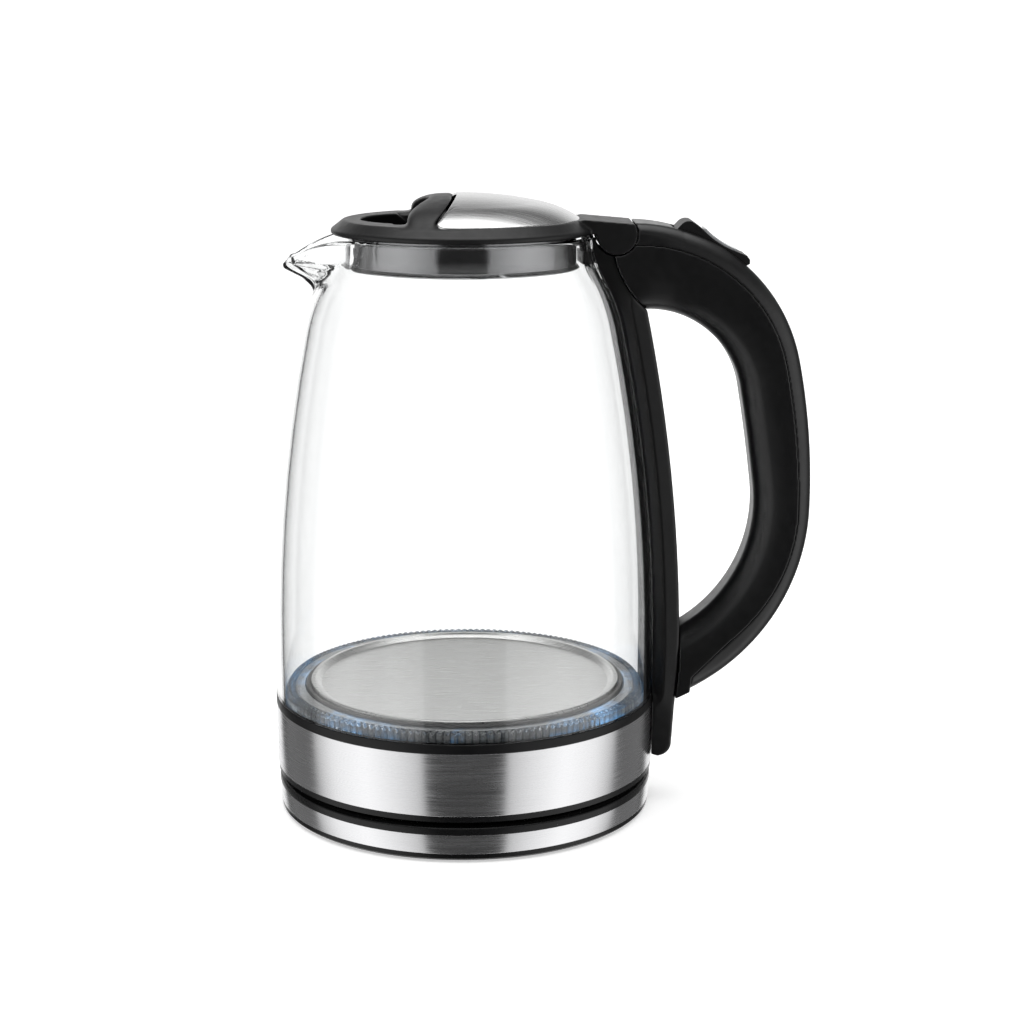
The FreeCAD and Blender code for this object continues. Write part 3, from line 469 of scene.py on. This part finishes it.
def crystal_ring():
    """A clear moulded ring: a smooth inner annulus, two rows of beads, and cut flutes down the outside."""
    top = 49.9
    rows = ((68.45, 0.0), (70.35, 0.5))     # radius of each row of beads, and its shift in cells
    half_row = 0.95
    recess = 0.42                           # how far the beads' track lies below the annulus
    bead_rise = 0.798
    track_from, flutes_from = 67.5, 71.0    # radii
    flute_depth = 0.55

    def ripple(radius, level, angle):
        phase = angle * FACETS / (2 * math.pi)
        if level > top - 0.01:
            for centre, shift in rows:
                across = (radius - centre) / half_row
                if abs(across) < 1:
                    along = abs((phase + shift) % 1.0 - 0.5) * 2
                    dome = max(0.0, 1 - across * across) * max(0.0, 1 - along * along)
                    return radius, level - recess + bead_rise * dome
            if radius > track_from:
                return radius, level - recess
            return radius, level
        if radius > flutes_from:
            flute = abs((phase % 1.0) - 0.5) * 2
            return radius - flute_depth * flute, level
        return radius, level

    outline = [(63.5, 44.7), (63.5, 49.6), (63.8, top)]
    outline += [(r, top) for r in np.arange(64.4, 67.4, 0.75)]
    outline += [(r, top) for r in np.arange(track_from, 71.35, 0.19)]
    outline += [(71.6, 49.3), (71.6, 48.2), (71.6, 46.9), (71.6, 45.8), (71.6, 44.7)]
    lathe("crystal_band", outline, "crystal_light_ring", count=FACETS * 8, ripple=ripple, sharp=25.0)


# ---------------------------------------------------------------- glass
GLASS_TURNS = ((617.6, 11.74), (72.0, 17.5), (32.0, -29.24))
WALL = 3.0
RIM = 227.0
SPOUT_FROM = 200.0
SPOUT_LEVELS = ((200.0, 52.0), (206.0, 57.0), (210.5, 61.8), (214.5, 69.6), (217.0, 72.8), (229.0, 73.6))


def glass_flank():
    """Radius against height, from the foot of the glass to its rim."""
    return np.array([(75.0, 46.7), (75.0, 52.0), (75.0, 58.0)] + arcs((75.0, 65.2), 90, *GLASS_TURNS))


def lip_height(x):
    """The top edge of the glass: level, then falling in a curve to the tip of the spout."""
    starts, length, fall = -38.0, 34.0, 13.0
    run = np.clip((starts - x) / length, 0, 2)
    return RIM - fall * run ** 2.31


def spout_radius(level, angle):
    """How far the spout's outside is from the axis. The angle is 0 towards the tip."""
    levels = np.array(SPOUT_LEVELS)
    tip = np.interp(level, levels[:, 0], levels[:, 1])
    nose = 4.0
    turn = np.radians(np.linspace(0, 78, 14))
    x = np.concatenate((tip - nose + nose * np.cos(turn), [40.0]))
    y = np.concatenate((nose * np.sin(turn), [30.0]))
    fine = np.linspace(0, 1, 160)
    track = np.linspace(0, 1, len(x))
    x, y = np.interp(fine, track, x), np.interp(fine, track, y)
    return np.interp(angle, np.arctan2(y, x), np.hypot(x, y), right=0.0)


def eased_max(a, b, soft):
    """The greater of two numbers, blended where they are closer than soft."""
    near = np.clip(1 - abs(a - b) / soft, 0, 1)
    return max(a, b) + near * near * soft / 4


def glass_piece():
    """The jug: one wall with its spout, a notch in the rim behind the handle, and a rounded lip."""
    flank = glass_flank()
    columns, high_rows = 384, 34
    low_rows = [tuple(p) for p in flank if p[1] < SPOUT_FROM - 1.0]
    high_from = SPOUT_FROM - 0.5
    notch_level, notch_half, notch_blend, notch_radius = 215.5, 10.0, 0.8, 51.0
    outside = []
    for column in range(columns):
        angle = 2 * math.pi * column / columns
        off_tip = abs(math.atan2(math.sin(angle), -math.cos(angle)))

        def reach(level):
            plain = float(np.interp(level, flank[:, 1], flank[:, 0]))
            if level <= SPOUT_FROM:
                return plain
            return eased_max(plain, float(spout_radius(level, off_tip)), 3.0)

        rim = RIM
        for _ in range(12):     # the rim's height depends on its reach, and its reach on its height
            rim = 0.5 * rim + 0.5 * float(lip_height(reach(rim) * math.cos(angle)))
        across = abs(notch_radius * math.sin(angle))
        if math.cos(angle) > 0 and across < notch_half + notch_blend:
            rim = notch_level + (RIM - notch_level) * float(ramped(across, notch_half, notch_blend))
        rim -= WALL / 2
        track = [(r, z) for r, z in low_rows]
        for k in range(high_rows):
            level = high_from + (rim - high_from) * k / (high_rows - 1)
            track.append((reach(level), level))
        outside.append([(r * math.cos(angle), r * math.sin(angle), z) for r, z in track])
    outside = np.array(outside).transpose(1, 0, 2)
    along = np.gradient(outside, axis=0)
    around = (np.roll(outside, -1, axis=1) - np.roll(outside, 1, axis=1)) / 2
    normal = np.cross(around, along)
    normal /= np.linalg.norm(normal, axis=2, keepdims=True)
    along /= np.linalg.norm(along, axis=2, keepdims=True)
    inside = outside - normal * WALL
    rows = [outside[k] for k in range(len(outside))]
    middle = (outside[-1] + inside[-1]) / 2
    for degrees in (30, 60, 90, 120, 150):
        turn = math.radians(degrees)
        rows.append(middle + WALL / 2 * (math.cos(turn) * normal[-1] + math.sin(turn) * along[-1]))
    rows += [inside[k] for k in reversed(range(len(inside)))]
    vertices = np.concatenate(rows)
    make("glass_body", vertices, grid_faces(len(rows), columns, wrap_rows=True), "glass_jug", sharp=60.0)


# ---------------------------------------------------------------- handle
BARREL = (58.4, 227.8)
BARREL_GAP = 8.1


def on_barrel(degrees):
    """A point at the handle's gap round the hinge barrel."""
    turn = math.radians(degrees)
    return BARREL[0] + BARREL_GAP * math.cos(turn), BARREL[1] + BARREL_GAP * math.sin(turn)


SEAM = np.array(arcs(on_barrel(-30), 1.8, (58.2, -79.7), (280.0, -11.5), (67.8, -47.5)) + [(90.0, 53.4)])
GRIP = np.array(arcs((70.4, 198.8), 0.4, (37.3, -80.3), (665.0, -3.4), (58.6, -65.8)))
BACK = np.array(arcs((on_barrel(30)[0], 231.85), -0.6, (66.6, -77.4), (256.0, -13.3), (84.0, -62.0)))
SPINE = np.array(arcs((70.4, 198.8), -78.1, (676.0, -10.8)) + [(84.5, 56.0), (83.2, 41.0), (82.0, 22.0)])


def distance(points, line):
    """The least distance from each (x, z) to a polyline."""
    best = np.full(len(points), 1e9)
    for a, b in zip(line[:-1], line[1:]):
        run = b - a
        t = np.clip(((points - a) @ run) / (run @ run), 0, 1)
        best = np.minimum(best, np.linalg.norm(points - (a + t[:, None] * run), axis=1))
    return best


def crowned_grip(place):
    """Narrows the grip towards the fingers, so that its sides are full instead of flat."""
    flat = place[:, [0, 2]]
    to_grip, to_seam = distance(flat, GRIP), distance(flat, SEAM)
    share = to_grip / (to_grip + to_seam + 1e-6)
    ease = ramped(place[:, 0], 66.0, 22.0)
    ease = ease * ease * (3 - 2 * ease)
    place[:, 1] *= 1 - 0.30 * ease * (1 - share) ** 2.0
    return place


def crowned_back(place):
    """Slopes the cover strip's sides in towards its back."""
    flat = place[:, [0, 2]]
    to_back, to_seam = distance(flat, BACK), distance(flat, SEAM)
    share = to_seam / (to_back + to_seam + 1e-6)
    ease = ramped(place[:, 0], 68.0, 16.0)
    place[:, 1] *= 1 - 0.16 * ease * share
    return place


def creased_spine(place):
    """Puts a low ridge down the sides of the spine, between the glass and the fingers."""
    flat = place[:, [0, 2]]
    to_glass, to_back = distance(flat, glass_flank()), distance(flat, SPINE)
    share = to_glass / (to_glass + to_back + 1e-6)
    ridge = 0.42
    slope = np.where(share < ridge, (ridge - share) * 0.30, (share - ridge) * 0.12)
    place[:, 1] *= 1 - slope
    return place


def handle_pieces():
    softened("handle_grip", "handle_shell", 0.5, 5, shape=crowned_grip)
    softened("handle_back", "handle_cover", 0.45, 4, shape=crowned_back)
    softened("handle_spine_bar", "handle_spine", 0.45, 4, shape=creased_spine)
    softened("thumb_switch", "switch_rocker", 0.25, 5)


# ---------------------------------------------------------------- lid
RING_TOP = 233.0
LID_TOP = 242.5
HOOD_SLOPE = 0.884      # how far the hood and the crown's front lean back, per mm of height


def dome_line():
    """Radius against height down the crown, from its middle to its edge."""
    crown = np.array(arcs((0.0, LID_TOP), 0, (140.0, -12.0)))
    start, end, bend = crown[-1], np.array((45.2, RING_TOP)), 42.0
    run = end - start
    half = np.linalg.norm(run) / 2
    slope = math.degrees(math.atan2(run[1], run[0]))
    turn = math.degrees(math.asin(half / bend))
    return np.vstack((crown, arcs(tuple(start), slope + turn, (bend, -2 * turn))[1:]))


DOME = dome_line()
CROWN_MIDDLE = 12.0
CROWN_RIM = 44.9
CROWN_GAUGE = 0.9


def crown_front(level):
    """Where the crown's straight front edge is at a level: it slopes back like the hood before it."""
    return -10.5 + (level - RING_TOP) * HOOD_SLOPE


def crown_piece():
    """The steel crown: a shallow dome with a rounded back, a straight front and eased corners."""
    columns, rings = 240, 30
    turn = 2 * np.pi * np.arange(columns) / columns
    way = np.stack((np.cos(turn), np.sin(turn)), axis=1)
    middle = np.array((CROWN_MIDDLE, 0.0))
    along = way @ middle
    rear = -along + np.sqrt(along ** 2 + CROWN_RIM ** 2 - CROWN_MIDDLE ** 2)
    far = 200.0
    front = np.full(columns, far)
    ahead = way[:, 0] < -0.02
    for _ in range(30):     # the front's distance depends on the level there, and the level on the distance
        spot = middle + way * np.minimum(front, rear)[:, None]
        level = np.interp(np.hypot(spot[:, 0], spot[:, 1]), DOME[:, 0], DOME[:, 1])
        wanted = (crown_front(level) - CROWN_MIDDLE) / np.where(ahead, way[:, 0], -1)
        front = np.where(ahead, 0.5 * np.minimum(front, 60) + 0.5 * wanted, far)
    ease = 0.33
    edge = -np.logaddexp(-ease * rear, -ease * np.minimum(front, 150)) / ease
    outline = middle + way * edge[:, None]
    around = np.roll(outline, -1, axis=0) - np.roll(outline, 1, axis=0)
    out = np.stack((around[:, 1], -around[:, 0]), axis=1)
    out /= np.linalg.norm(out, axis=1, keepdims=True)

    def row(plan, drop):
        level = np.interp(np.hypot(plan[:, 0], plan[:, 1]), DOME[:, 0], DOME[:, 1])
        return np.column_stack((plan, level - drop))

    shares = np.linspace(0, 1, rings) ** 0.8
    rim = 0.35
    rows = [row(middle + (outline - out * rim - middle) * share, 0.0) for share in shares]
    for degrees in (30, 60, 90):
        lean = math.radians(degrees)
        rows.append(row(outline - out * rim * (1 - math.sin(lean)), rim * (1 - math.cos(lean))))
    rows.append(row(outline, CROWN_GAUGE))
    rows += [row(middle + (outline - middle) * share, CROWN_GAUGE) for share in (0.97, 0.8, 0.5, 0.25, 0.0)]
    vertices = np.concatenate(rows)
    make("lid_crown", vertices, grid_faces(len(rows), columns), "lid_insert", sharp=50.0)


def hood_melt(place):
    """How much the lid's hood is eased: fully on its crest, and not at all on the ring below."""
    rise = ramped(place[:, 2], 231.8, 1.6)
    front = ramped(-place[:, 0], -1.0, 4.0) * ramped(place[:, 0], -26.0, 3.0)
    return rise * front


def hood_bulge(place):
    """Curves the hood's flat front towards the spout."""
    bulge = 3.2
    rise = ramped(place[:, 2], RING_TOP, LID_TOP - RING_TOP)
    front = -20.0 + (place[:, 2] - RING_TOP) * HOOD_SLOPE
    share = 1 - ramped(place[:, 0], front, 7.0)
    place[:, 0] -= bulge * np.sin(np.pi * rise) * share * (place[:, 0] < 2.0) * (place[:, 0] > -40.0)
    return place


def lid_pieces():
    softened("lid_shell", "lid_ring", 0.4, 5, melt=hood_melt, shape=hood_bulge)
    crown_piece()


handle_pieces()
glass_piece()
base_pieces()
jug_base_pieces()
crystal_ring()
lid_pieces()


# ---------------------------------------------------------------- studio
MIX_A, MIX_B, MIX_OUT = 6, 7, 2     # a Mix node's colour sockets


def world_light():
    """Plain white to look at. What the object reflects or scatters is two softboxes with darker gaps."""
    world = bpy.data.worlds.new("studio")
    scene.world = world
    world.use_nodes = True
    tree = world.node_tree
    nodes, links = tree.nodes, tree.links
    seen_white = 1.25
    place = nodes.new("ShaderNodeTexCoord")
    parts = nodes.new("ShaderNodeSeparateXYZ")
    links.new(place.outputs["Generated"], parts.inputs["Vector"])

    def ramp(value, *stops):
        """Grey levels against a value."""
        return colour_ramp(tree, value, [(position, (level,) * 3) for position, level in stops])

    def mixed(factor):
        made = nodes.new("ShaderNodeMix")
        made.data_type = "RGBA"
        links.new(factor, made.inputs["Factor"])
        return made

    # The angle from the front round to the back, alike on both sides.
    back = maths(tree, "MULTIPLY", parts.outputs["Y"], -1.0)
    azimuth = maths(tree, "ARCTAN2", parts.outputs["X"], back)
    turn = maths(tree, "DIVIDE", maths(tree, "ABSOLUTE", azimuth), math.pi)
    side = ramp(turn, *((degrees / 180, level) for degrees, level in (
        (0, 0.06), (23.8, 0.06), (25.2, 0.75), (40, 1.1), (62, 1.5), (85, 1.3), (101, 0.75), (104, 0.05),
        (106, 0.16), (136, 0.2), (142, 0.03), (147, 0.03), (150, 1.2), (180, 1.2))))
    over = ramp(parts.outputs["Z"], (0.0, 0.8), (0.42, 0.6), (0.53, 0.1), (0.6, 0.1), (0.72, 0.32),
                (0.86, 0.75), (1.0, 1.1))
    top = ramp(parts.outputs["Z"], (0.0, 0.0), (0.24, 0.0), (0.44, 1.0), (1.0, 1.0))
    room = mixed(top)
    links.new(side, room.inputs[MIX_A])
    links.new(over, room.inputs[MIX_B])

    # Rays from the camera see white, and so do those that have only passed through glass.
    path = nodes.new("ShaderNodeLightPath")
    bounces = maths(tree, "ADD", path.outputs["Glossy Depth"], path.outputs["Diffuse Depth"])
    direct = maths(tree, "LESS_THAN", bounces, 0.5)
    through = maths(tree, "MULTIPLY", path.outputs["Is Transmission Ray"], direct)
    sky = mixed(maths(tree, "MAXIMUM", path.outputs["Is Camera Ray"], through))
    sky.inputs[MIX_B].default_value = (seen_white, seen_white, seen_white, 1)
    links.new(room.outputs[MIX_OUT], sky.inputs[MIX_A])
    links.new(sky.outputs[MIX_OUT], nodes["Background"].inputs["Color"])
    nodes["Background"].inputs["Strength"].default_value = 1.0


def floor():
    """A pale sheet that lights the object, but isn't seen in it or through its glass."""
    side = 6.0
    mesh = bpy.data.meshes.new("floor")
    corners = [(-side, -side, 0), (side, -side, 0), (side, side, 0), (-side, side, 0)]
    mesh.from_pydata(corners, [], [(0, 1, 2, 3)])
    made = bpy.data.objects.new("floor", mesh)
    scene.collection.objects.link(made)
    look = Mat("floor_look", Base_Color=(0.95, 0.95, 0.95, 1), Roughness=0.9,
               Emission_Color=(1, 1, 1, 1), Emission_Strength=0.5)
    mesh.materials.append(look.material)
    made.visible_glossy = False
    made.visible_transmission = False


def area_light(name, location, aim, size, power):
    light = bpy.data.lights.new(name, "AREA")
    light.shape = "DISK"
    light.size = size
    light.energy = power
    light.specular_factor = 0.3
    made = bpy.data.objects.new(name, light)
    scene.collection.objects.link(made)
    made.location = location
    made.rotation_euler = (Vector(aim) - Vector(location)).to_track_quat("-Z", "Y").to_euler()


world_light()
floor()
area_light("top_light", (0, 0, 2.2), (0, 0, 0), 2.6, 30)
